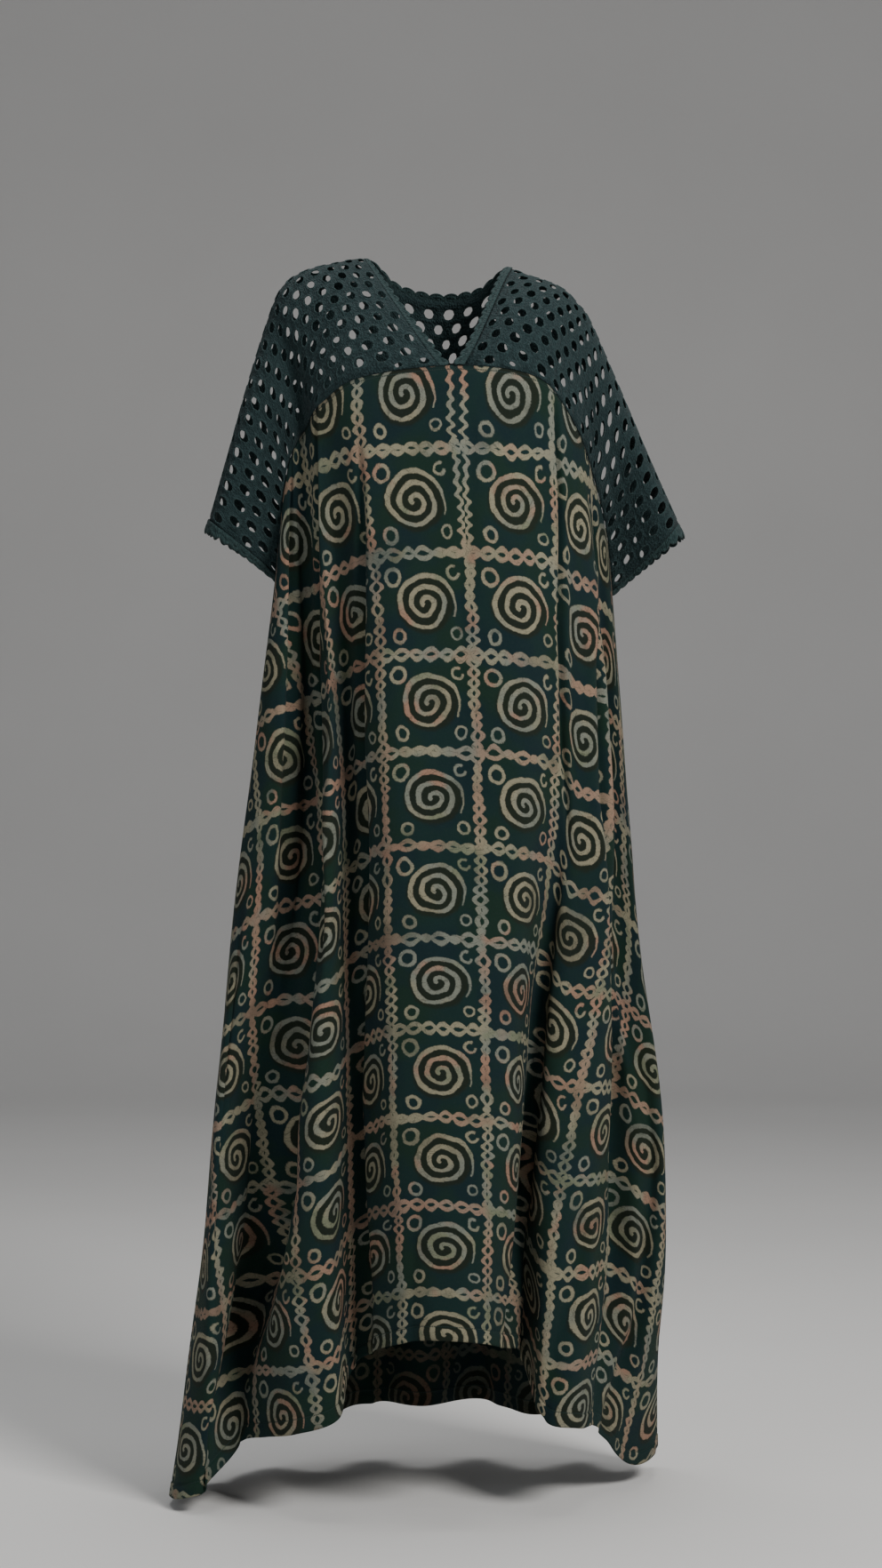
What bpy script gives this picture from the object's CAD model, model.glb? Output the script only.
# The looks of a lace-yoked kaftan dress in wax-resist print: fine shells of cloth on the forms of the frame's
# solids, every eyelet of the lace, the scalloped edgings, the stitching and the cloth's colours.
import math

import bpy
import numpy as np
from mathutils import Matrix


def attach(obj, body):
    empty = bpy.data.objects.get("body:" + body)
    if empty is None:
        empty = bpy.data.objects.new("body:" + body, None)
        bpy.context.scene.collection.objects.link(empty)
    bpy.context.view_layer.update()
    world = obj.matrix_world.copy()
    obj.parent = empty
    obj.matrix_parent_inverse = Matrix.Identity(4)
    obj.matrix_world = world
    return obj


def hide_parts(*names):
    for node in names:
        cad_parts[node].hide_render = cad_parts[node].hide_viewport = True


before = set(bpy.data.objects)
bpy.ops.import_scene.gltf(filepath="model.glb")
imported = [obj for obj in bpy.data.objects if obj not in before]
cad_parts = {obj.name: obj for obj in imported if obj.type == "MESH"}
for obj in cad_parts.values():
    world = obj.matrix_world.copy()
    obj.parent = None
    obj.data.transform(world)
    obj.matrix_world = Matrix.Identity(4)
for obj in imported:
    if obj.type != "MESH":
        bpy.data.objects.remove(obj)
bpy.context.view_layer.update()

MM = 0.001

# The drape, as in the frame's solids, in mm

# The top line of the cloth, from the tip of the right sleeve over both shoulders to the tip of the left one
TOP_LINE = np.array([
    (-282, 20, -324), (-254, 17, -226), (-230, 15, -139), (-208, 13, -68), (-192, 12, -28),
    (-170, 12, -8), (-132, 12, 4), (-83, 12, 10),
    (-48, 44, -14), (0, 58, -24), (48, 45, -20),
    (82, 15, -1), (117, 15, -11), (152, 14, -25), (171, 14, -44), (186, 14, -65),
    (220, 15, -144), (260, 17, -239), (301, 20, -329)], float)
RIGHT_NECK, LEFT_NECK = 7, 11

# The fold lines round the dress: place on the top line, point on the yoke seam, plan positions at the hip
# and the knee, and point on the hem
FRONT = [
    (0, (-190, 5, -388), (-240, 35), (-281, 8), (-317, -62, -1482)),
    (0.9, (-188, -26, -305), (-236, -30), (-264, -68), (-272, -105, -1462)),
    (1.9, (-179, -36, -240), (-184, -52), (-224, -12), (-233, -40, -1418)),
    (2.5, (-171, -40, -222), (-160, -18), (-198, -44), (-205, -84, -1405)),
    (3.1, (-160, -36, -203), (-142, -42), (-180, -96), (-168, -128, -1393)),
    (3.8, (-149, -62, -184), (-128, -100), (-138, -130), (-113, -142, -1370)),
    (4.8, (-134, -76, -171), (-107, -66), (-106, -88), (-101, -82, -1326)),
    (6, (-91, -95, -147), (-60, -140), (-48, -165), (-35, -172, -1277)),
    (7, (17, -105, -134), (32, -143), (46, -168), (52, -174, -1278)),
    (12, (72, -101, -136), (91, -138), (90, -146), (77, -136, -1290)),
    (13, (126, -88, -150), (146, -104), (112, -68), (100, -46, -1318)),
    (14, (149, -74, -174), (170, -90), (144, -94), (124, -110, -1380)),
    (15, (170, -55, -208), (203, -72), (190, -76), (166, -106, -1390)),
    (16, (189, -38, -263), (206, -8), (213, -6), (190, -44, -1400)),
    (17, (205, -14, -325), (238, 4), (279, 8), (236, 50, -1466)),
]
SIDE_LEFT = (18, (212, 10, -400), (236, 72), (271, 86), (274, 112, -1458))
BACK = [
    (17, (200, 46, -322), (218, 108), (252, 134), (276, 168, -1450)),
    (15.8, (176, 60, -258), (178, 98), (204, 116), (228, 138, -1440)),
    (14.5, (142, 80, -198), (142, 130), (162, 168), (180, 204, -1432)),
    (12.5, (96, 93, -164), (92, 108), (104, 130), (116, 154, -1425)),
    (10.6, (48, 99, -151), (42, 138), (46, 178), (52, 216, -1419)),
    (9, (-2, 101, -148), (-8, 116), (-14, 140), (-18, 164, -1417)),
    (7.4, (-50, 98, -151), (-58, 142), (-70, 180), (-82, 212, -1421)),
    (5.6, (-96, 91, -164), (-106, 108), (-126, 126), (-146, 142, -1428)),
    (3.5, (-140, 78, -198), (-158, 126), (-186, 150), (-212, 166, -1442)),
    (2.2, (-172, 56, -256), (-200, 84), (-230, 90), (-262, 84, -1460)),
    (1, (-190, 36, -325), (-234, 90), (-270, 82), (-306, 44, -1474)),
]
RING = FRONT + [SIDE_LEFT] + BACK
V_LINE, LEFT_SEAM = 8, len(FRONT)
# How far down each line the hip and the knee are, and the hem's place on w
DROP = (0.35, 0.7)
HEM = 4.0

# How the curves of lace leave the top line and reach the yoke seam, in mm. The chest's way changes into the
# arm's over the last places of the top line
LEAVE = {"chest": 44, "arm": 118, "right": (13, -47, -20), "left": (-14, -47, -17), "back": (0, 24, -34)}
REACH = {"chest": (0, -12, -62), "arm": (46, 8, -40), "right": (32, -17, -36), "left": (-31, -19, -34)}
ARM_SHARE_LENGTH = 3.3


def hermite(a, b, da, db, h, t):
    """Points of the cubics from a to b with slopes da and db over spans h, at parts t."""
    t2, t3 = t * t, t * t * t
    return a * (2 * t3 - 3 * t2 + 1) + b * (3 * t2 - 2 * t3) + h * (da * (t3 - 2 * t2 + t) + db * (t3 - t2))


def through(knots, points, x):
    """A smooth curve through points at knots, at each x. points is (knots, 3), or (len(x), knots, 3)."""
    knots, x = np.asarray(knots, float), np.asarray(x, float)
    if points.ndim == 2:
        points = np.broadcast_to(points, (len(x),) + points.shape)
    i = np.clip(np.searchsorted(knots, x, side="left") - 1, 1, len(knots) - 3)
    rows = np.arange(len(x))
    p = [points[rows, i + d] for d in (-1, 0, 1, 2)]
    k = [knots[i + d][:, None] for d in (-1, 0, 1, 2)]
    h = [k[n + 1] - k[n] for n in range(3)]
    d = [(p[n + 1] - p[n]) / h[n] for n in range(3)]
    s1 = (d[0] * h[1] + d[1] * h[0]) / (h[0] + h[1])
    s2 = (d[1] * h[2] + d[2] * h[1]) / (h[1] + h[2])
    return hermite(p[1], p[2], s1, s2, h[1], (x[:, None] - k[1]) / h[1])


def top_at(k):
    """Points of the top line, at places along it."""
    padded = np.vstack([2 * TOP_LINE[0] - TOP_LINE[1], TOP_LINE, 2 * TOP_LINE[-1] - TOP_LINE[-2]])
    return through(np.arange(-1, len(TOP_LINE) + 1), padded, np.clip(k, 0, len(TOP_LINE) - 1))


def stations(line):
    """The points of a fold line from the yoke seam to the hem, with one more beyond each end."""
    _, seam, hip, knee, hem = line
    levels = [(x, y, seam[2] + (hem[2] - seam[2]) * part) for (x, y), part in zip((hip, knee), DROP)]
    p = np.array([seam, *levels, hem], float)
    return np.vstack([2 * p[0] - p[1], p, 2 * p[3] - p[2]])


STATIONS = np.array([stations(line) for line in RING])
SEAMS = STATIONS[:, 1]
SPANS = np.linalg.norm(np.roll(STATIONS, -1, axis=0) - STATIONS, axis=2)[:, 1:5].mean(axis=1)
KNOTS = np.concatenate([[0], np.cumsum(SPANS)])
AROUND = KNOTS[-1]


def skirt_at(u, w):
    """The dress below the yoke seam, at u along the cloth in mm and w down it, from 1 at the seam to 4 at the
    hem."""
    u, w = np.asarray(u, float) % AROUND, np.asarray(w, float)
    lines = np.stack([through(np.arange(6), s, w) for s in STATIONS], axis=1)
    lines = np.concatenate([lines[:, -1:], lines, lines[:, :2]], axis=1)
    knots = np.concatenate([[KNOTS[-2] - AROUND], KNOTS, [KNOTS[1] + AROUND]])
    return through(knots, lines, u)


def lace_line(index, top, back, neck):
    """The four points of the curve of lace from the top line to the yoke seam."""
    arm = np.clip(1 - min(top, len(TOP_LINE) - 1 - top) / ARM_SHARE_LENGTH, 0, 1)
    side, facing = (1 if top < len(TOP_LINE) / 2 else -1), (-1 if back else 1)
    start, end = top_at(np.array([top]))[0], SEAMS[index % len(RING)]
    leave = np.array([0, -facing * (LEAVE["chest"] + (LEAVE["arm"] - LEAVE["chest"]) * arm), 0])
    to_chest = np.multiply(REACH["chest"], (0, facing, 1.0))
    reach = to_chest * (1 - arm) + np.multiply(REACH["arm"], (side, facing, 1.0)) * arm
    if back and RIGHT_NECK < top < LEFT_NECK:
        leave = np.array(LEAVE["back"], float)
    if neck:
        leave, reach = np.array(LEAVE[neck], float), np.array(REACH[neck], float)
    return np.array([start, start + leave, end - reach, end])


class Patch:
    """A patch of lace between two fold lines. u runs along the seam, w from 0 at the top line to 1."""

    def __init__(self, first, last, back, tops, necks):
        self.tops = np.array(tops, float)
        curves = [lace_line(i, tops[i - first], back, necks.get(i)) for i in range(first, last + 1)]
        knots = list(KNOTS[first:last + 1])
        before, after = (first - 1) % len(RING), (last + 1) % len(RING)
        low = curves[0] + (SEAMS[before] - curves[0][3])
        high = curves[-1] + (SEAMS[after] - curves[-1][3])
        self.curves = np.array([low] + curves + [high])
        self.inner = np.array(knots)
        self.knots = np.array([knots[0] - SPANS[before]] + knots + [knots[-1] + SPANS[last % len(RING)]])
        self.start, self.end = knots[0], knots[-1]

    def top_of(self, u):
        return np.interp(u, self.inner, self.tops)

    def raw(self, u, w):
        t = w[:, None, None]
        a, b, c, d = (self.curves[None, :, n] for n in range(4))
        lines = a * (1 - t) ** 3 + 3 * b * t * (1 - t) ** 2 + 3 * c * t * t * (1 - t) + d * t ** 3
        return through(self.knots, lines, u)

    def at(self, u, w):
        u, w = np.clip(np.asarray(u, float), self.start, self.end), np.clip(np.asarray(w, float), 0, 1)
        lift = top_at(self.top_of(u)) - self.raw(u, np.zeros_like(w))
        return self.raw(u, w) + lift * ((1 - w) ** 2)[:, None]


FRONT_TOPS = [line[0] for line in FRONT]
RIGHT = Patch(0, V_LINE, False, FRONT_TOPS[:V_LINE + 1], {V_LINE: "right"})
LEFT = Patch(V_LINE, LEFT_SEAM, False, [LEFT_NECK] + FRONT_TOPS[V_LINE + 1:] + [18], {V_LINE: "left"})
REAR = Patch(LEFT_SEAM, len(RING), True, [18] + [line[0] for line in BACK] + [0], {})


# Meshes

def unit(v):
    return v / np.maximum(np.linalg.norm(v, axis=-1, keepdims=True), 1e-9)


def smooth_step(x, low, high):
    t = np.clip((x - low) / (high - low), 0, 1)
    return t * t * (3 - 2 * t)


def bell(x, middle, half):
    """1 at the middle, and nearly nothing two half widths away."""
    return np.exp(-((x - middle) / half) ** 2)


def make_object(name, points, faces, cloth, materials, node_names, thickness):
    """A shell of cloth. points and thickness are in mm, and cloth is the place of each point on the flat
    cloth, for the materials. A second material is for the wrong side."""
    mesh = bpy.data.meshes.new(name)
    mesh.from_pydata((np.asarray(points) * MM).tolist(), [], faces)
    layer = mesh.attributes.new("cloth", "FLOAT_VECTOR", "POINT")
    layer.data.foreach_set("vector", np.asarray(cloth, np.float32).ravel())
    mesh.shade_smooth()
    for material in materials:
        mesh.materials.append(material)
    obj = bpy.data.objects.new(name, mesh)
    bpy.context.scene.collection.objects.link(obj)
    wall = obj.modifiers.new("wall", "SOLIDIFY")
    wall.thickness = thickness * MM
    wall.offset = -1
    wall.material_offset = len(materials) - 1
    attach(obj, "root")
    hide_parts(*node_names)
    return obj


def grid_faces(columns, rows):
    """Faces of a grid of points stored column by column, seen from outside."""
    return [(i * rows + j, i * rows + j + 1, (i + 1) * rows + j + 1, (i + 1) * rows + j)
            for i in range(columns - 1) for j in range(rows - 1)]


def grid_normals(grid):
    across, down = np.gradient(grid, axis=0), np.gradient(grid, axis=1)
    return unit(np.cross(down, across))


# Materials

class Maker:
    """Builds a material's nodes. Its values are sockets or numbers."""

    def __init__(self, name):
        self.material = bpy.data.materials.new(name)
        self.material.use_nodes = True
        self.nodes = self.material.node_tree.nodes
        self.links = self.material.node_tree.links
        self.nodes.clear()

    def put(self, socket, value):
        if isinstance(value, bpy.types.NodeSocket):
            self.links.new(value, socket)
        else:
            socket.default_value = value

    def math(self, operation, *values):
        node = self.nodes.new("ShaderNodeMath")
        node.operation = operation
        for socket, value in zip(node.inputs, values):
            self.put(socket, value)
        return node.outputs[0]

    def add(self, a, b):
        return self.math("ADD", a, b)

    def sub(self, a, b):
        return self.math("SUBTRACT", a, b)

    def mul(self, a, b):
        return self.math("MULTIPLY", a, b)

    def high(self, a, b):
        return self.math("MAXIMUM", a, b)

    def size(self, a):
        return self.math("ABSOLUTE", a)

    def rest(self, a):
        """What is left of 1."""
        return self.sub(1.0, a)

    def keep(self, a, least):
        """a drawn in to least where it is 0, and still 1 where it is 1."""
        return self.add(least, self.mul(a, 1 - least))

    def step(self, x, low, high):
        """0 below low, 1 above high, smooth between. low may be above high."""
        node = self.nodes.new("ShaderNodeMapRange")
        node.interpolation_type = "SMOOTHSTEP"
        for socket, value in zip(node.inputs, (x, low, high, 0.0, 1.0)):
            self.put(socket, value)
        return node.outputs[0]

    def noise(self, at, scale, detail=2.0, roughness=0.5):
        node = self.nodes.new("ShaderNodeTexNoise")
        self.put(node.inputs["Vector"], at)
        node.inputs["Scale"].default_value = scale
        node.inputs["Detail"].default_value = detail
        node.inputs["Roughness"].default_value = roughness
        return node.outputs["Fac"]

    def cells(self, at, scale, feature="F1"):
        node = self.nodes.new("ShaderNodeTexVoronoi")
        node.feature = feature
        self.put(node.inputs["Vector"], at)
        node.inputs["Scale"].default_value = scale
        return node.outputs["Distance"]

    def mix(self, part, a, b):
        node = self.nodes.new("ShaderNodeMix")
        node.data_type = "RGBA"
        self.put(node.inputs[0], part)
        for socket, value in ((node.inputs[6], a), (node.inputs[7], b)):
            self.put(socket, value if isinstance(value, bpy.types.NodeSocket) else (*value, 1.0))
        return node.outputs[2]

    def vector(self, x, y, z=0.0):
        node = self.nodes.new("ShaderNodeCombineXYZ")
        for socket, value in zip(node.inputs, (x, y, z)):
            self.put(socket, value)
        return node.outputs[0]

    def split(self, vector):
        node = self.nodes.new("ShaderNodeSeparateXYZ")
        self.put(node.inputs[0], vector)
        return node.outputs

    def attribute(self, name):
        node = self.nodes.new("ShaderNodeAttribute")
        node.attribute_name = name
        return node.outputs["Vector"]

    def finish(self, colour, roughness, height, bump_distance, sheen, specular=0.25):
        shader = self.nodes.new("ShaderNodeBsdfPrincipled")
        bump = self.nodes.new("ShaderNodeBump")
        bump.inputs["Distance"].default_value = bump_distance
        bump.inputs["Strength"].default_value = 1.0
        self.put(bump.inputs["Height"], height)
        self.put(shader.inputs["Base Color"], colour)
        self.put(shader.inputs["Roughness"], roughness)
        self.put(shader.inputs["Normal"], bump.outputs[0])
        shader.inputs["Sheen Weight"].default_value = sheen
        shader.inputs["Sheen Roughness"].default_value = 0.6
        shader.inputs["Specular IOR Level"].default_value = specular
        out = self.nodes.new("ShaderNodeOutputMaterial")
        self.links.new(shader.outputs[0], out.inputs["Surface"])
        return self.material


# One square of the print in mm. Sizes of the motifs below are in parts of a square.
PITCH = 112.0
GROUND = {"teal": (0.0060, 0.0240, 0.0220), "green": (0.0075, 0.0260, 0.0165),
          "blue": (0.0050, 0.0195, 0.0230), "olive": (0.0125, 0.0165, 0.0085), "bloom": (0.017, 0.032, 0.028)}
WAX = {"khaki": (0.285, 0.262, 0.176), "olive": (0.190, 0.205, 0.132), "pink": (0.330, 0.200, 0.138),
       "grey": (0.205, 0.218, 0.176)}
# Colours that change over the cloth: name, place in the noise, its scale, its detail, and its values
# where the colour begins and is full
GROUND_PATCHES = [("blue", 1.0, 2.3, 3.0, 0.42, 0.62), ("green", 7.0, 1.6, 3.0, 0.45, 0.65)]
WAX_PATCHES = [("grey", 11.0, 1.5, 2.0, 0.42, 0.60), ("pink", 13.0, 2.1, 2.0, 0.54, 0.68),
               ("olive", 19.0, 2.6, 2.0, 0.56, 0.70)]
# The hand-drawn line wanders: place in the noise, its scale, and the size of the wander
WANDER_ACROSS = [(3.1, 3.0, 0.09), (9.2, 16.0, 0.020)]
WANDER_DOWN = [(17.3, 3.0, 0.09), (21.7, 16.0, 0.020)]
LINE_EDGE = {"ragged_scale": 0.55, "ragged": 0.026, "share": 0.8, "soft": 0.006}
# The spiral starts thin on the right, goes over the top and inward, and is thinner at its foot
SPIRAL = {"middle": (0.018, 0.006), "radius": 0.328, "pitch": 0.116, "width": 0.052, "squash": 1.10,
          "start": 1.07, "tip": (-0.02, 0.24), "tip_width": 0.26, "foot": 0.78, "foot_reach": 0.16,
          "foot_width": 0.76, "mouth": (-0.5, -0.45), "turns": (2.76, 2.70), "shade": 0.05, "shaded": 0.85}
# Rings: middle, radius and width. The last one is broken at an angle, over a half angle.
RINGS = [((-0.295, 0.285), 0.074, 0.036), ((-0.270, -0.318), 0.060, 0.032), ((0.335, -0.290), 0.052, 0.024)]
BROKEN_RING = ((0.322, 0.312), 0.054, 0.028)
RING_GAP = {"at": 0.5, "half": (0.45, 0.75)}
RING_SQUASH = 0.88
# The strands of a chain draw together into a rope in places, and stand apart in others
CHAIN = {"tight": 0.0288, "open": 0.0228, "apart": 0.018, "loose_where": (23.0, 1.3, 1.0, 0.40, 0.60),
         "apart_where": (29.0, 1.1, 1.0, 0.50, 0.66)}
CHAIN_DOWN = {"width": 0.052, "waves": 4.6, "phase": 1.6}
CHAIN_ACROSS = {"width": 0.056, "waves": 3.2, "phase": 4.2}
CHAIN_PINK = {"place": 31.0, "stretch": 0.45, "scale": 1.6, "values": (0.47, 0.62), "share": 0.8}
# On the chest the two strands of the middle chain part, and the squares beside it move over
PARTING = {"width": 0.14, "rows": (1.7, -0.5), "begins": (0.02, 0.05), "within": (0.4, 0.39),
           "split": (0.0005, -0.0005), "waves": 8.4, "phase": 0.4, "swing": 0.55}
# Where the wax lets dye in: cracks, specks and faded patches, each with the least wax that it leaves
CRACKLE = {"scale": 0.11, "bend": 9.0, "bend_scale": 0.2, "values": (0.010, 0.034), "least": 0.62}
SPECKLE = {"noise": (0.8, 4.0, 0.7), "values": (0.34, 0.50), "least": 0.66}
FADED = {"place": 4.0, "noise": (1.7, 3.0), "values": (0.30, 0.48), "least": 0.62}
MOTTLE = {"noise": (0.35, 5.0, 0.65), "values": (0.5, 0.75), "share": 0.45}
# Places of the stitch lines down the cloth, from 1 at the yoke seam to 4 at the hem, and the stitch in mm
HEM_STITCH, YOKE_STITCH = 3.952, 1.012
STITCH = {"length": 2.6, "gap": (0.22, 0.30), "half": (0.0022, 0.0012), "share": 0.8, "height": 1.5,
          "colour": (0.020, 0.042, 0.036)}
# The printed cloth's bump: warp and weft, and puckers. Its roughness varies.
WEAVE = {"threads_per_mm": 1.6, "height": 0.35}
PUCKER = {"noise": (0.08, 3.0), "height": 1.6}
ROUGH = {"least": 0.70, "noise": (0.3, 2.0), "more": 0.2}
PRINT_FINISH = {"bump_distance": 0.0005, "sheen": 0.02, "specular": 0.12}
# The lace. Pairs tell where in a stitch or a loop a value begins and is full.
LACE_STITCH = {"scale": 0.62, "squash": 0.55, "shade": (0.75, 0.1), "shine": (0.6, 0.1), "height": (0.8, 0.0)}
LACE_LOOP = {"scale": 0.33, "height": (0.7, 0.0)}
LACE_SHARES = {"shade": 0.6, "clouds": 0.5, "shine": 0.30, "more_shine": 0.45, "loops": 0.8}
LACE_CLOUDS = (0.12, 3.0)
LACE_FINISH = {"roughness": 0.82, "bump_distance": 0.0009, "sheen": 0.04, "specular": 0.12}


def print_material(name, strength):
    """Wax-resist print. strength is how much of the wax shows: 1 on the right side, less on the wrong one."""
    m = Maker(name)
    column, row, drop = m.split(m.attribute("cloth"))
    across, down = m.mul(column, PITCH), m.mul(row, PITCH)
    mm = m.vector(across, down)

    def patch(place, scale, detail, low, high):
        return m.step(m.noise(m.vector(column, row, place), scale, detail), low, high)

    def wander(value, waves):
        for place, scale, size in waves:
            at = m.vector(m.add(column, place), row, place)
            value = m.add(value, m.mul(m.sub(m.noise(at, scale), 0.5), size))
        return value

    # The place across and down, with the squares left of the chest's parting moved over
    c, r = wander(column, WANDER_ACROSS), wander(row, WANDER_DOWN)
    parting = m.mul(m.step(row, *PARTING["rows"]), PARTING["width"])
    left_of = m.step(m.add(c, m.mul(parting, 0.5)), *PARTING["split"])
    parted = m.mul(m.step(parting, *PARTING["begins"]), m.step(m.size(c), *PARTING["within"]))
    c = m.add(c, m.mul(parting, left_of))
    x = m.sub(m.sub(c, m.math("FLOOR", c)), 0.5)
    y = m.sub(0.5, m.sub(r, m.math("FLOOR", r)))
    ragged = m.mul(m.sub(m.noise(mm, LINE_EDGE["ragged_scale"], 3.0, 0.6), 0.5), LINE_EDGE["ragged"])
    less_ragged = m.mul(ragged, LINE_EDGE["share"])

    def band(distance, half):
        return m.step(m.size(distance), m.add(half, LINE_EDGE["soft"]), m.sub(half, LINE_EDGE["soft"]))

    def length(dx, dy, squash):
        return m.math("SQRT", m.add(m.mul(dx, dx), m.mul(m.mul(dy, dy), squash)))

    def circle(middle, size, width):
        dx, dy = m.sub(x, middle[0]), m.sub(y, middle[1])
        return dx, dy, band(m.sub(length(dx, dy, RING_SQUASH), size), m.add(ragged, width / 2))

    # The spiral: turn is the part of a round from its start, and number counts the rounds inward
    sx, sy = m.sub(x, SPIRAL["middle"][0]), m.sub(y, SPIRAL["middle"][1])
    radius = length(sx, sy, SPIRAL["squash"])
    turn = m.math("FRACT", m.add(m.mul(m.math("ARCTAN2", sy, sx), 1 / (2 * math.pi)), SPIRAL["start"]))
    inward = m.sub(m.mul(m.sub(SPIRAL["radius"], radius), 1 / SPIRAL["pitch"]), turn)
    number = m.math("ROUND", inward)
    drawn = m.add(number, turn)
    tip = m.keep(m.step(drawn, *SPIRAL["tip"]), SPIRAL["tip_width"])
    near_foot = m.step(m.size(m.sub(turn, SPIRAL["foot"])), SPIRAL["foot_reach"], 0.0)
    half = m.mul(m.mul(tip, m.keep(m.rest(near_foot), SPIRAL["foot_width"])), SPIRAL["width"] / 2)
    inside = m.mul(m.step(inward, *SPIRAL["mouth"]), m.step(drawn, *SPIRAL["turns"]))
    off = m.mul(m.sub(inward, number), SPIRAL["pitch"])
    lines = m.mul(band(off, m.add(half, less_ragged)), inside)
    within = m.step(radius, SPIRAL["radius"], SPIRAL["radius"] - SPIRAL["shade"])

    for ring in RINGS:
        lines = m.high(lines, circle(*ring)[2])
    dx, dy, broken = circle(*BROKEN_RING)
    gap = m.step(m.size(m.sub(m.math("ARCTAN2", dy, dx), RING_GAP["at"])), *RING_GAP["half"])
    lines = m.high(lines, m.mul(broken, gap))

    # Two strands wave across each other along each side of a square
    reach = m.add(CHAIN["tight"], m.mul(patch(*CHAIN["loose_where"]), CHAIN["open"]))
    apart = m.mul(m.mul(patch(*CHAIN["apart_where"]), CHAIN["apart"]), m.rest(parted))

    def swing(along, waves, phase):
        return m.math("SINE", m.add(m.mul(along, 2 * math.pi * waves), phase))

    def chain(aside, wave, form, left, right, mirror):
        wave = m.add(m.mul(wave, reach), apart)
        width = m.add(less_ragged, form["width"] / 2)
        one = band(m.sub(aside, wave), width)
        other = band(m.add(aside, m.mul(wave, mirror)), width)
        return m.high(m.mul(one, right), m.mul(other, left))

    # Strands that have parted wave side by side, closer and smaller, and each shows on its own side
    mirror = m.sub(1.0, m.mul(parted, 2.0))
    crossing = m.mul(swing(r, CHAIN_DOWN["waves"], CHAIN_DOWN["phase"]), m.rest(parted))
    beside = m.mul(swing(r, PARTING["waves"], PARTING["phase"]), m.mul(parted, PARTING["swing"]))
    show_left, show_right = m.rest(m.mul(parted, m.rest(left_of))), m.rest(m.mul(parted, left_of))
    upright = chain(m.sub(c, m.math("ROUND", c)), m.add(crossing, beside), CHAIN_DOWN, show_left, show_right,
                    mirror)
    level = chain(m.sub(r, m.math("ROUND", r)), swing(c, CHAIN_ACROSS["waves"], CHAIN_ACROSS["phase"]),
                  CHAIN_ACROSS, 1.0, 1.0, 1.0)
    chains = m.high(upright, level)
    lines = m.high(lines, chains)

    # The wax lets some dye in
    bent = m.add(across, m.mul(m.noise(mm, CRACKLE["bend_scale"]), CRACKLE["bend"]))
    cracks = m.cells(m.vector(bent, down), CRACKLE["scale"], "DISTANCE_TO_EDGE")
    lines = m.mul(lines, m.keep(m.step(cracks, *CRACKLE["values"]), CRACKLE["least"]))
    lines = m.mul(lines, m.keep(m.step(m.noise(mm, *SPECKLE["noise"]), *SPECKLE["values"]), SPECKLE["least"]))
    faded = patch(FADED["place"], *FADED["noise"], *FADED["values"])
    lines = m.mul(m.mul(lines, m.keep(faded, FADED["least"])), strength)

    ground, wax = GROUND["teal"], WAX["khaki"]
    for dye, *where in GROUND_PATCHES:
        ground = m.mix(patch(*where), ground, GROUND[dye])
    ground = m.mix(m.mul(within, SPIRAL["shaded"]), ground, GROUND["olive"])
    mottle = m.step(m.noise(mm, *MOTTLE["noise"]), *MOTTLE["values"])
    ground = m.mix(m.mul(mottle, MOTTLE["share"] * strength), ground, GROUND["bloom"])
    for tint, *where in WAX_PATCHES:
        wax = m.mix(patch(*where), wax, WAX[tint])
    at = m.vector(column, m.mul(row, CHAIN_PINK["stretch"]), CHAIN_PINK["place"])
    pink = m.mul(m.step(m.noise(at, CHAIN_PINK["scale"]), *CHAIN_PINK["values"]), CHAIN_PINK["share"])
    wax = m.mix(m.mul(chains, pink), wax, WAX["pink"])
    colour = m.mix(lines, ground, wax)

    # A line of lockstitch holds the turned-up hem and another the yoke seam
    dash = m.step(m.math("FRACT", m.mul(column, PITCH / STITCH["length"])), *STITCH["gap"])
    seams = [m.step(m.size(m.sub(drop, place)), *STITCH["half"]) for place in (HEM_STITCH, YOKE_STITCH)]
    thread = m.mul(m.high(*seams), dash)
    colour = m.mix(m.mul(thread, STITCH["share"]), colour, STITCH["colour"])

    threads = math.pi * WEAVE["threads_per_mm"]
    warp, weft = (m.size(m.math("SINE", m.mul(place, threads))) for place in (across, down))
    woven = m.mul(m.add(warp, weft), WEAVE["height"])
    puckers = m.mul(m.noise(mm, *PUCKER["noise"]), PUCKER["height"])
    height = m.add(m.add(woven, puckers), m.mul(thread, STITCH["height"]))
    roughness = m.add(ROUGH["least"], m.mul(m.noise(mm, *ROUGH["noise"]), ROUGH["more"]))
    return m.finish(colour, roughness, height, **PRINT_FINISH)


def lace_material(name, deep, pale, rim):
    """Corded lace: short stitches in rows, with satin-stitched rims where the cloth attribute's third part
    is 1."""
    m = Maker(name)
    x, y, ring = m.split(m.attribute("cloth"))
    mm = m.vector(x, y)
    stitches = m.cells(m.vector(x, m.mul(y, LACE_STITCH["squash"])), LACE_STITCH["scale"])
    loops = m.cells(mm, LACE_LOOP["scale"], "SMOOTH_F1")
    clouds = m.mul(m.noise(mm, *LACE_CLOUDS), LACE_SHARES["clouds"])
    shade = m.add(m.mul(m.step(stitches, *LACE_STITCH["shade"]), LACE_SHARES["shade"]), clouds)
    shine = m.mul(m.step(stitches, *LACE_STITCH["shine"]), LACE_SHARES["more_shine"])
    shine = m.add(LACE_SHARES["shine"], shine)
    colour = m.mix(m.mul(ring, shine), m.mix(shade, deep, pale), rim)
    raised = m.mul(m.step(loops, *LACE_LOOP["height"]), LACE_SHARES["loops"])
    height = m.add(m.step(stitches, *LACE_STITCH["height"]), raised)
    return m.finish(colour, height=height, **LACE_FINISH)


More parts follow.
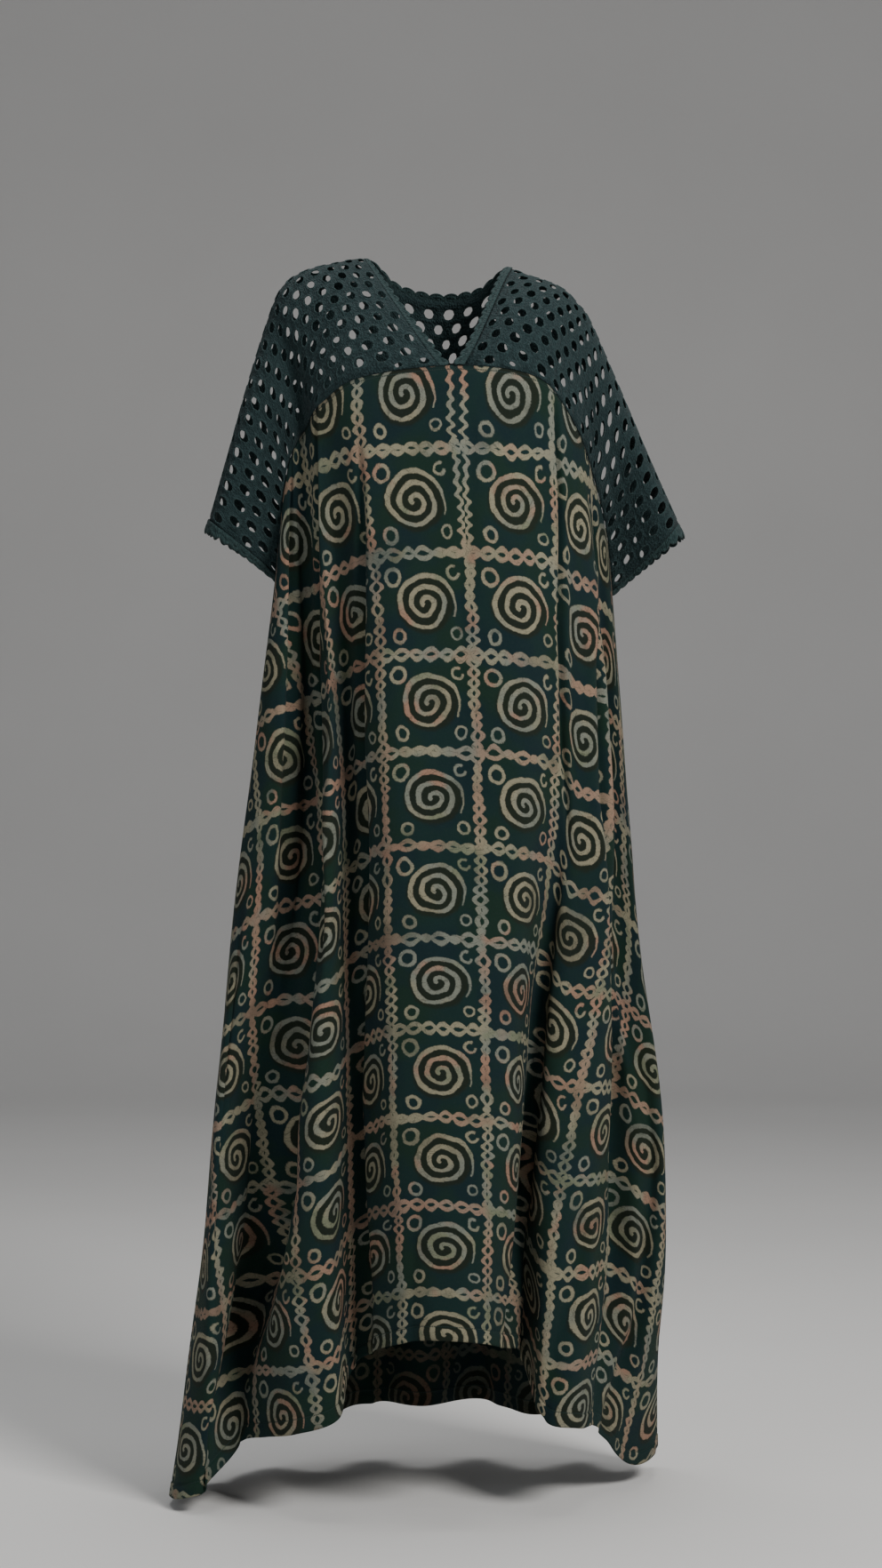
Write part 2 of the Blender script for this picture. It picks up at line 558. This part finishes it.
PRINT = print_material("print_cloth", 1.0)
PRINT_INSIDE = print_material("print_wrong_side", 0.38)
LACE = lace_material("lace_cloth", deep=(0.0045, 0.0115, 0.0125), pale=(0.0200, 0.0415, 0.0430),
                     rim=(0.0330, 0.0620, 0.0620))
EDGING = lace_material("edging_cloth", deep=(0.0045, 0.0125, 0.0130), pale=(0.0230, 0.0470, 0.0470),
                       rim=(0.0350, 0.0670, 0.0650))


# Printed body

# Rows of the print at the yoke seam and at the hem, each with what is added where the seam is lowest
PRINT_ROWS = {"seam": (-0.75, 1.35), "hem": (9.55, 0.55), "seam_heights": (-134, -400), "longer": (0.18, 0.4)}
# Where a column of the print begins: its place round the dress in mm, and its number
FRONT_COLUMN = (KNOTS[V_LINE] + 0.21 * SPANS[V_LINE], 0.0)
REAR_COLUMN = (KNOTS[LEFT_SEAM] + 0.5 * (AROUND - KNOTS[LEFT_SEAM]), 20.4)
# Columns and rows of a panel. Its rows crowd round the hem's stitch line, where the turned-up band begins
PANEL_COLUMNS, PANEL_ROWS = 400, 107
HEM_ROWS = HEM_STITCH + np.array([-0.006, -0.002, 0.002, 0.007])
ABOVE_HEM, BELOW_HEM, BAND_ROWS = 0.012, 0.015, 5
PRINT_WALL = 1.0
# The seams hold the cloth flat: columns at a side seam, and the relief's share at the yoke seam
HELD = {"columns": 9, "share": 0.15, "until": 1.16}
# The band at the hem lies higher, and the stitch lines in shallow grooves: height in mm and width on w
HEM_BAND, HEM_GROOVE, YOKE_GROOVE = (0.8, 0.006), (0.9, 0.004), (1.2, 0.012)
HIDDEN_SHARE = 0.3

# Drag lines from the yoke seam: height in mm, mm of cloth to a radian, and phase
DRAG_LINES = [(2.0, 17.0, 0.0), (1.4, 29.0, 1.3)]
DRAG_FADE = 0.5
# Ripples: height in mm, mm to a radian across, radians down, the same three for their sway, and where on w
# they begin and are full
RIPPLES = [(1.5, 23.0, 0.8, 1.1, math.inf, 1.7, 1.3, 2.3), (1.4, 31.0, -2.6, 0.8, 57.0, 0.0, 1.1, 1.8),
           (1.0, 41.0, 9.0, 1.5, 90.0, 0.0, 1.4, 2.0), (2.2, 19.0, 0.0, 0.9, 63.0, 0.0, 3.3, 4.0)]

# Folds that the solids leave out: their centre line as (w, u, depth, half width), all but w in mm
FRONT_PLEATS = [
    [(1.1, 434, 0, 7), (1.45, 421, 8, 8), (1.75, 407, 11, 8), (2.1, 394, 12, 8), (2.7, 384, 11, 9),
     (3.1, 368, 12, 9), (3.5, 376, 12, 9), (4.0, 388, 9, 10)],
    [(1.0, 312, 5, 7), (1.35, 278, 12, 8), (1.7, 252, 14, 9), (2.1, 266, 13, 9), (2.45, 288, 6, 10),
     (2.75, 300, 0, 10)],
    [(2.05, 252, 0, 10), (2.35, 242, 9, 11), (2.7, 240, 14, 12), (3.0, 226, 17, 13), (3.3, 192, 17, 13),
     (3.6, 134, 14, 13), (3.9, 84, 9, 12), (4.0, 70, 6, 12)],
    [(1.9, 250, 0, 28), (2.35, 247, 16, 34), (2.8, 240, 30, 38), (3.2, 216, 34, 40), (3.6, 156, 28, 37),
     (4.0, 96, 10, 30)],
    [(2.1, 84, 0, 9), (2.55, 95, 6, 9), (2.85, 88, 8, 9), (3.2, 92, 5, 10), (3.6, 104, 0, 10)],
    [(1.0, 180, 5, 8), (1.4, 172, 9, 8), (1.9, 170, 9, 9), (2.4, 172, 6, 10), (2.8, 168, 0, 10)],
    [(1.0, 708, 5, 7), (1.31, 698, 9, 7), (1.7, 678, 10, 8), (2.05, 684, 9, 8), (2.35, 712, 0, 9)],
    [(2.25, 688, 0, 12), (2.65, 681, 11, 14), (3.0, 684, 17, 16), (3.4, 660, 19, 17), (3.85, 625, 15, 16),
     (4.0, 615, 11, 14)],
    [(1.05, 848, 4, 7), (1.25, 824, 10, 8), (1.68, 776, 13, 8), (2.07, 772, 13, 9), (2.41, 801, 16, 11),
     (2.77, 846, 20, 14), (3.34, 863, 18, 14), (3.75, 852, 9, 13), (4.0, 842, 4, 11)],
    [(2.6, 900, 0, 9), (2.93, 908, 8, 9), (3.25, 900, 12, 9), (3.55, 904, 12, 9), (3.83, 890, 9, 10),
     (4.0, 872, 6, 10)],
    [(1.05, 560, 0, 7), (1.2, 556, 2.5, 8), (1.6, 548, 2.5, 9), (2.2, 540, 0, 10)],
    [(3.1, 770, 0, 10), (3.45, 762, 7, 10), (3.8, 744, 8, 11), (4.0, 734, 6, 11)],
    [(3.3, 470, 0, 10), (3.6, 462, 3, 11), (4.0, 452, 4, 12)],
]
REAR_PLEATS = [
    [(1.0, 1112, 5, 7), (1.4, 1120, 10, 8), (1.9, 1128, 12, 9), (2.5, 1118, 11, 10), (3.2, 1100, 10, 10),
     (4.0, 1092, 6, 11)],
    [(1.0, 1216, 6, 7), (1.5, 1206, 10, 8), (2.0, 1214, 9, 9), (2.6, 1228, 0, 9)],
    [(2.2, 1262, 0, 9), (2.7, 1250, 9, 10), (3.2, 1246, 12, 11), (4.0, 1232, 9, 12)],
    [(1.0, 1338, 4, 7), (1.5, 1346, 9, 8), (2.2, 1352, 11, 9), (3.0, 1340, 10, 10), (3.6, 1330, 6, 11),
     (4.0, 1326, 4, 11)],
    [(1.0, 1448, 0, 7), (1.4, 1452, 7, 8), (1.9, 1446, 8, 9), (2.5, 1436, 0, 9)],
    [(2.0, 1500, 0, 9), (2.5, 1492, 8, 10), (3.1, 1480, 12, 11), (3.7, 1484, 12, 11),
     (4.0, 1490, 10, 12)],
    [(1.0, 1584, 5, 7), (1.5, 1592, 10, 8), (2.1, 1580, 12, 9), (2.8, 1566, 8, 10), (3.3, 1560, 0, 10)],
    [(2.4, 1662, 0, 9), (2.9, 1668, 10, 10), (3.4, 1684, 13, 11), (4.0, 1704, 9, 12)],
    [(1.0, 1722, 5, 7), (1.4, 1736, 9, 8), (1.9, 1744, 8, 9), (2.5, 1752, 0, 10)],
]
# A fold sways, fades in where it begins below the seam, and has low shoulders beside its trough: their share,
# and their place and half width in half widths of the trough
SWAY = {"size": 3.0, "turns": 5.3}
FADE_IN = (-0.05, 0.12)
SHOULDERS = [(0.22, 2.1, 1.2), (0.154, -2.0, 1.2)]


def rows_of(seam_z, z, hem_z):
    """The print's row at a height: its pitch is a little longer near the top of the dress."""
    part = np.clip((seam_z - z) / (seam_z - hem_z), 0, 1)
    longer, fading = PRINT_ROWS["longer"]
    part = part - longer * part * (1 - part) * (1 - fading * part)
    high, low = PRINT_ROWS["seam_heights"]
    lowered = (high - seam_z) / (high - low)
    top, hem = (row + more * lowered for row, more in (PRINT_ROWS["seam"], PRINT_ROWS["hem"]))
    return top + (hem - top) * part


def pleats(lines, u, w):
    """The height of the folds in mm: a soft trough with a low shoulder on each side."""
    height = np.zeros_like(u)
    for line in lines:
        at, centre, depth, half = np.array(line, float).T
        inside = smooth_step(w, at[0] + FADE_IN[0], at[0] + FADE_IN[1]) if at[0] > 1 else 1.0
        sway = SWAY["size"] * np.sin(w * SWAY["turns"] + at[0])
        place = (u - np.interp(w, at, centre) - sway) / np.interp(w, at, half)
        deep = np.interp(w, at, depth) * inside * (w <= at[-1] + 1e-6)
        shoulders = sum(share * bell(place, middle, wide) for share, middle, wide in SHOULDERS)
        height += deep * (shoulders - bell(place, 0, 1))
    return height


def creases(u, w):
    """Small soft folds that the solids leave out, in mm along the cloth's normal."""
    near_seam = bell(w, 1, DRAG_FADE) * (w - 1) * 3
    height = near_seam * sum(size * np.sin(u / across + phase) for size, across, phase in DRAG_LINES)
    for size, across, down, sway, sway_across, sway_down, begin, full in RIPPLES:
        swayed = sway * np.sin(u / sway_across + w * sway_down)
        height += size * np.sin(u / across + w * down + swayed) * smooth_step(w, begin, full)
    return height


def stitched(ws):
    """The height in mm of the turned-up band, and of the grooves of the two stitch lines."""
    band = HEM_BAND[0] * smooth_step(ws, HEM_STITCH, HEM_STITCH + HEM_BAND[1])
    hem = HEM_GROOVE[0] * bell(ws, HEM_STITCH, HEM_GROOVE[1])
    return band - hem - YOKE_GROOVE[0] * bell(ws, 1, YOKE_GROOVE[1])


def along_columns(grid):
    """Lengths between neighbouring columns of a grid."""
    return np.linalg.norm(np.diff(grid, axis=0), axis=2)


def print_panel(name, first, last, column, nodes, folds):
    us = np.linspace(KNOTS[first], KNOTS[last], PANEL_COLUMNS)
    ws = np.concatenate([np.linspace(1, HEM_STITCH - ABOVE_HEM, PANEL_ROWS), HEM_ROWS,
                         np.linspace(HEM_STITCH + BELOW_HEM, HEM, BAND_ROWS)])
    rows = len(ws)
    u, w = np.repeat(us, rows), np.tile(ws, len(us))
    smooth = skirt_at(u, w).reshape(len(us), rows, 3)
    number = np.arange(len(us))
    ends = smooth_step(np.minimum(number, number[::-1]), 0, HELD["columns"])[:, None]
    held = HELD["share"] + (1 - HELD["share"]) * smooth_step(ws, 1.0, HELD["until"])
    relief = (creases(u, w) + pleats(folds, u, w)).reshape(len(us), rows) * ends * held + stitched(ws)
    grid = smooth + grid_normals(smooth) * relief[..., None]

    # The print keeps its place where a fold takes up cloth, but for a share that the fold hides
    steps = along_columns(smooth)
    steps += HIDDEN_SHARE * (along_columns(grid) - steps)
    along = np.vstack([np.zeros(rows), np.cumsum(steps, axis=0)]) / PITCH
    zero, first_number = column
    start = [np.interp(zero, us, along[:, j]) for j in range(rows)]
    z = smooth[..., 2]
    row = rows_of(z[:, :1], z, z[:, -1:])
    cloth = np.stack([along - start + first_number, row, np.broadcast_to(ws, row.shape)], axis=2)
    return make_object(name, grid.reshape(-1, 3), grid_faces(len(us), rows), cloth.reshape(-1, 3),
                       [PRINT, PRINT_INSIDE], nodes, PRINT_WALL)


front = print_panel("print_front_cloth", 0, LEFT_SEAM, FRONT_COLUMN, ["print_front"], FRONT_PLEATS)
rear = print_panel("print_back_cloth", LEFT_SEAM, len(RING), REAR_COLUMN, ["print_back"], REAR_PLEATS)


# Lace

# Eyelets in mm: spacing across and down, half size of the hole, rim width and height, cloth left between rims
EYELET = {"across": 21.6, "down": 19.0, "half": (5.4, 6.3), "rim": 2.3, "raise": 0.9, "cloth": 2.6}
# Shares of a full cell: the least height and width with a hole, and the rest at the lower edge that joins it
CELL = {"least_tall": 0.5, "least_wide": 0.9, "joined": 0.22}
# Loops round a hole: how far out on the rim, the lift in mm, and how much it counts as rim
RIM_LOOPS = [(0.0, 0.1, 1.0), (0.5, EYELET["raise"], 1.0), (1.0, 0.0, 0.45)]
RIM_DOWN = min(EYELET["rim"], 0.8 * EYELET["cloth"])
# Holes differ a little in size, and are narrower where a cell is low
WOBBLE = {"size": 0.07, "across": 2.3, "down": 1.7}
NARROW = 0.35
# Rows lie further apart on the sleeves, where the cloth is drawn out
SLEEVE_ROWS = {"scale": 0.28, "from": 3.6, "to": 2.0}
EDGING_WIDTH = 11.0
# The lace runs this far under its edgings, and the edging of the back neck narrows over this length, in mm
UNDER_EDGING, NECK_TAPER = 1, 18.0
LACE_WALL, EDGING_WALL = 1.3, 1.6
# Steps of the table of lengths down a patch. Across it has twice as many.
TABLE = 80


class Layout:
    """Lengths on a lace patch in mm: p runs across it at half its depth, q down from the top line."""

    def __init__(self, patch):
        self.patch = patch
        self.us = np.linspace(patch.start, patch.end, TABLE * 2 + 1)
        self.ws = np.linspace(0, 1, TABLE + 1)
        middle = patch.at(self.us, np.full_like(self.us, 0.5))
        self.across = np.concatenate([[0], np.cumsum(np.linalg.norm(np.diff(middle, axis=0), axis=1))])
        self.width = self.across[-1]
        u, w = np.repeat(self.us, TABLE + 1), np.tile(self.ws, len(self.us))
        grid = patch.at(u, w).reshape(len(self.us), TABLE + 1, 3)
        steps = np.linalg.norm(np.diff(grid, axis=1), axis=2)
        self.down = np.concatenate([np.zeros((len(self.us), 1)), np.cumsum(steps, axis=1)], axis=1)
        self.normals = grid_normals(grid)

    def depth(self, p):
        return np.interp(p, self.across, self.down[:, -1])

    def arm(self, p):
        """1 on a sleeve, 0 on the body."""
        top_place = float(self.patch.top_of(np.interp(p, self.across, self.us)))
        from_tip = min(top_place, len(TOP_LINE) - 1 - top_place)
        return float(smooth_step(from_tip, SLEEVE_ROWS["from"], SLEEVE_ROWS["to"]))

    def place(self, p, q, lift):
        """Points at p, q in mm, and lift above the cloth."""
        x = np.interp(p, self.across, np.arange(len(self.us)))
        i = np.clip(x.astype(int), 0, len(self.us) - 2)
        f = x - i
        w = np.empty_like(p)
        for n, part in enumerate(f):
            line = self.down[i[n]] * (1 - part) + self.down[i[n] + 1] * part
            w[n] = np.interp(q[n], line, self.ws)
        y = w * TABLE
        j = np.clip(y.astype(int), 0, TABLE - 1)
        f, g = f[:, None], (y - j)[:, None]
        near, far = (self.normals[k, j] * (1 - g) + self.normals[k, j + 1] * g for k in (i, i + 1))
        normal = unit(near * (1 - f) + far * f)
        u = np.interp(p, self.across, self.us)
        return self.patch.at(u, w) + normal * np.reshape(lift, (-1, 1))


class Net:
    """Faces on a layout. Each of its points is kept once, as p, q, lift and how much it counts as rim."""

    def __init__(self):
        self.points, self.faces, self.known = [], [], {}

    def add(self, p, q, lift=0.0, rim=0.0):
        key = (round(p, 2), round(q, 2), round(lift, 2))
        if key not in self.known:
            self.known[key] = len(self.points)
            self.points.append((p, q, lift, rim))
        return self.known[key]

    def plain_cell(self, ps, upper, lower):
        for k in range(len(ps) - 1):
            corners = ((k, upper), (k, lower), (k + 1, lower), (k + 1, upper))
            ids = [self.add(ps[n], line[n]) for n, line in corners]
            ids = [v for m, v in enumerate(ids) if v != ids[m - 1]]
            if len(set(ids)) >= 3:
                self.faces.append(tuple(ids))

    def eyelet_cell(self, ps, upper, lower, step, wobble):
        """A cell of four parts across, with a hole, its rim and the cloth round it."""
        tall = min(b - a for a, b in zip(upper, lower))
        outline = [(ps[0], upper[0]), (ps[0], (upper[0] + lower[0]) / 2), (ps[0], lower[0])]
        outline += [(ps[k], lower[k]) for k in (1, 2, 3, 4)]
        outline += [(ps[4], (upper[4] + lower[4]) / 2), (ps[4], upper[4])]
        outline += [(ps[k], upper[k]) for k in (3, 2, 1)]
        middle, centre = (ps[0] + ps[4]) / 2, (upper[2] + lower[2]) / 2
        angles = [math.atan2((q - centre) * step / tall, p - middle) for p, q in outline]
        room = tall / 2 - EYELET["cloth"]
        half_p, half_q = EYELET["half"]
        hole_p = half_p * wobble * min(1.0, NARROW + (1 - NARROW) * room / half_q)
        hole_q = min(half_q * wobble * tall / EYELET["down"], room)
        loops = []
        for out, lift, rim in RIM_LOOPS:
            a, b = hole_p + EYELET["rim"] * out, hole_q + RIM_DOWN * out
            loops.append([self.add(middle + a * math.cos(t), centre + b * math.sin(t), lift, rim)
                          for t in angles])
        loops.append([self.add(p, q) for p, q in outline])
        for inner, outer in zip(loops, loops[1:]):
            for k in range(len(outline)):
                m = (k + 1) % len(outline)
                self.faces.append((outer[k], outer[m], inner[m], inner[k]))


def eyelet_lace(name, layout, nodes, neck=None):
    """The lace of a patch: staggered cells with holes, and plain ones at its edges. neck is where the back
    neck begins and ends."""
    net = Net()
    p_low, p_high = EDGING_WIDTH - UNDER_EDGING, layout.width - EDGING_WIDTH + UNDER_EDGING
    count = round((p_high - p_low) / EYELET["across"])
    step = (p_high - p_low) / count
    half = step / 2

    def top(p):
        if neck is None:
            return 0.0
        share = float(np.clip(min(p - neck[0], neck[1] - p) / NECK_TAPER, 0, 1))
        return (EDGING_WIDTH - UNDER_EDGING) * share

    def level(row, ps):
        """The line above a row of cells, kept between the top of the lace and its lower edge."""
        line = []
        for p in ps:
            q = row * EYELET["down"] * (1 + SLEEVE_ROWS["scale"] * layout.arm(p))
            lowest = float(layout.depth(p))
            if lowest - q < CELL["joined"] * EYELET["down"]:
                q = lowest
            line.append(min(max(q, top(p)), lowest))
        return line

    rows = math.ceil(float(layout.depth(np.linspace(p_low, p_high, 50)).max()) / EYELET["down"])
    for row in range(rows):
        shift = half if row % 2 else 0.0
        for n in range(-(row % 2), count):
            left = max(p_low + n * step + shift, p_low)
            right = min(p_low + (n + 1) * step + shift, p_high)
            parts = 4 if right - left > half + 1 else 2
            ps = [left + (right - left) * k / parts for k in range(parts + 1)]
            upper, lower = level(row, ps), level(row + 1, ps)
            heights = [b - a for a, b in zip(upper, lower)]
            if max(heights) < 1e-6:
                continue
            low = min(heights) < CELL["least_tall"] * EYELET["down"]
            if parts < 4 or low or right - left < CELL["least_wide"] * step:
                net.plain_cell(ps, upper, lower)
            else:
                turn = n * WOBBLE["across"] + row * WOBBLE["down"]
                net.eyelet_cell(ps, upper, lower, step, 1 + WOBBLE["size"] * math.sin(turn))
    p, q, lift, rim = np.array(net.points).T
    points, cloth = layout.place(p, q, lift), np.column_stack([p, q, rim])
    return make_object(name, points, net.faces, cloth, [LACE], nodes, LACE_WALL)


right, left, back = Layout(RIGHT), Layout(LEFT), Layout(REAR)
neck_u = [float(np.interp(-k, -REAR.tops, REAR.inner)) for k in (LEFT_NECK, RIGHT_NECK)]
neck_p = [float(np.interp(u, back.us, back.across)) for u in neck_u]
lace_right = eyelet_lace("lace_front_right_cloth", right, ["lace_front_right"])
lace_left = eyelet_lace("lace_front_left_cloth", left, ["lace_front_left"])
lace_back = eyelet_lace("lace_back_cloth", back, ["lace_back"], neck_p)

# Edgings

SCALLOP = {"length": 14.0, "rise": 4.2, "columns": 12, "roundness": 0.7}
# The least that an edging counts as rim
LEAST_RIM = 0.25
# A small sunk dot in each scallop: place and half size across the edging and along the scallop, and depth
DOT = {"across": (0.44, 0.12), "along": (0.5, 0.16), "deep": 1.1}
# Lift of the edging across its width, from its scalloped edge to the lace, in mm
EDGING_LIFT = [(0.0, 0.0), (0.07, 0.7), (0.17, 1.1), (0.30, 0.8), (0.42, 0.5), (0.56, 0.5), (0.70, 0.6),
               (0.84, 0.6), (0.93, 0.4), (1.0, 0.1)]


def edging(name, layout, across, length, nodes):
    """A scalloped edging. across(s) gives the p, q of its outer and inner line, and its share of the full
    width."""
    columns = max(1, round(length / SCALLOP["length"])) * SCALLOP["columns"] + 1
    pq, lift, cloth = [], [], []
    for i in range(columns):
        s = length * i / (columns - 1)
        phase = (i % SCALLOP["columns"]) / SCALLOP["columns"]
        lobe = abs(math.sin(math.pi * phase)) ** SCALLOP["roundness"]
        outer, inner, share = across(s)
        start = outer + (inner - outer) * (SCALLOP["rise"] * (1 - lobe) / EDGING_WIDTH)
        for part, up in EDGING_LIFT:
            dot = bell(part, *DOT["across"]) * bell(phase, *DOT["along"])
            pq.append(start + (inner - start) * part)
            lift.append((up - DOT["deep"] * dot) * share)
            rim = LEAST_RIM + (1 - LEAST_RIM) * min(1.0, up)
            cloth.append((s, part * EDGING_WIDTH, rim * (1 - dot)))
    points = layout.place(*np.array(pq).T, lift)
    faces = grid_faces(columns, len(EDGING_LIFT))
    return make_object(name, points, faces, cloth, [EDGING], nodes, EDGING_WALL)


def end_edging(name, layout, at_start, nodes):
    """The edging down one end of a patch, where the neck or a sleeve opens."""
    edge, inner = (0.0, EDGING_WIDTH) if at_start else (layout.width, layout.width - EDGING_WIDTH)
    length, edge_length = float(layout.depth(inner)), float(layout.depth(edge))

    def across(s):
        return np.array([edge, s / length * edge_length]), np.array([inner, s]), 1.0
    return edging(name, layout, across, length, nodes)


def neck_back_edging(name, layout, neck, nodes):
    """The edging round the back of the neck, which narrows to nothing at the neck points."""
    length = neck[1] - neck[0]

    def across(s):
        share = float(np.clip(min(s, length - s) / NECK_TAPER, 0.02, 1))
        return np.array([neck[0] + s, 0.0]), np.array([neck[0] + s, EDGING_WIDTH * share]), share
    return edging(name, layout, across, length, nodes)


right_edgings = [end_edging("neck_edging_right_cloth", right, False, ["neck_edging_right"]),
                 end_edging("sleeve_edging_right_front_cloth", right, True, ["sleeve_edging_right_front"])]
left_edgings = [end_edging("neck_edging_left_cloth", left, True, ["neck_edging_left"]),
                end_edging("sleeve_edging_left_front_cloth", left, False, ["sleeve_edging_left_front"])]
back_edgings = [neck_back_edging("neck_edging_back_cloth", back, neck_p, ["neck_edging_back"]),
                end_edging("sleeve_edging_right_back_cloth", back, False, ["sleeve_edging_right_back"]),
                end_edging("sleeve_edging_left_back_cloth", back, True, ["sleeve_edging_left_back"])]

# Floor, light and camera, in m

FLOOR = {"z": -1.4935, "half_width": 9.0, "back_y": 7.0, "rise": 7.0, "bend": 2.2}
FLOOR_COLOURS = (0.70, 0.69, 0.67), (0.76, 0.75, 0.73)
FLOOR_CLOUDS, FLOOR_GRAIN = (1.5, 3.0), (40.0, 2.0)
FLOOR_FINISH = {"roughness": 0.85, "bump_distance": 0.0005, "sheen": 0.0}
# Lights: name, place, aim, width and height, power and colour
LIGHTS = [("key", (2.1, -2.75, 1.75), (0, 0, 0.0), (1.3, 1.3), 168, (1.0, 0.985, 0.97)),
          ("fill", (-2.8, -2.6, 0.4), (0, 0, -0.7), (2.0, 2.4), 26, (0.95, 0.98, 1.0)),
          ("top", (0, 0.5, 2.6), (0, 0, -0.5), (2.4, 2.0), 60, (1, 1, 1))]
ROOM_LIGHT = {"colour": (0.9, 0.93, 1.0, 1), "strength": 0.14}
CAMERA = {"place": (0.0043, -3.8, -0.629), "sensor": 36, "focal_pixels": 3519, "picture_pixels": 1764}


def floor():
    mesh = bpy.data.meshes.new("floor")
    side, low, back_y, bend = FLOOR["half_width"], FLOOR["z"], FLOOR["back_y"], FLOOR["bend"]
    profile = [(-side, low)]
    profile += [(back_y - bend + bend * math.sin(a), low + bend * (1 - math.cos(a)))
                for a in np.linspace(0, math.pi / 2, 16)]
    profile.append((back_y, low + FLOOR["rise"]))
    points = [(x, y, z) for x in (-side, side) for y, z in profile]
    n = len(profile)
    mesh.from_pydata(points, [], [(k, n + k, n + k + 1, k + 1) for k in range(n - 1)])
    mesh.shade_smooth()
    m = Maker("floor")
    at = m.nodes.new("ShaderNodeTexCoord").outputs["Object"]
    colour = m.mix(m.noise(at, *FLOOR_CLOUDS), *FLOOR_COLOURS)
    mesh.materials.append(m.finish(colour, height=m.noise(at, *FLOOR_GRAIN), **FLOOR_FINISH))
    obj = bpy.data.objects.new("floor", mesh)
    bpy.context.scene.collection.objects.link(obj)


def area_light(name, place, aim, size, power, colour):
    light = bpy.data.lights.new(name, "AREA")
    light.shape = "RECTANGLE"
    light.size, light.size_y = size
    light.energy = power
    light.color = colour
    obj = bpy.data.objects.new(name, light)
    obj.location = place
    x, y, z = (a - b for a, b in zip(place, aim))
    obj.rotation_euler = (math.atan2(math.hypot(x, y), z), 0, math.atan2(y, x) + math.pi / 2)
    bpy.context.scene.collection.objects.link(obj)


floor()
for light in LIGHTS:
    area_light(*light)
world = bpy.data.worlds.new("studio")
bpy.context.scene.world = world
world.use_nodes = True
background = world.node_tree.nodes["Background"]
background.inputs[0].default_value = ROOM_LIGHT["colour"]
background.inputs[1].default_value = ROOM_LIGHT["strength"]

camera = bpy.data.objects.new("camera", bpy.data.cameras.new("camera"))
camera.data.sensor_width = CAMERA["sensor"]
camera.data.lens = CAMERA["sensor"] * CAMERA["focal_pixels"] / CAMERA["picture_pixels"]
camera.location = CAMERA["place"]
camera.rotation_euler = (math.pi / 2, 0, 0)
bpy.context.scene.collection.objects.link(camera)
bpy.context.scene.camera = camera
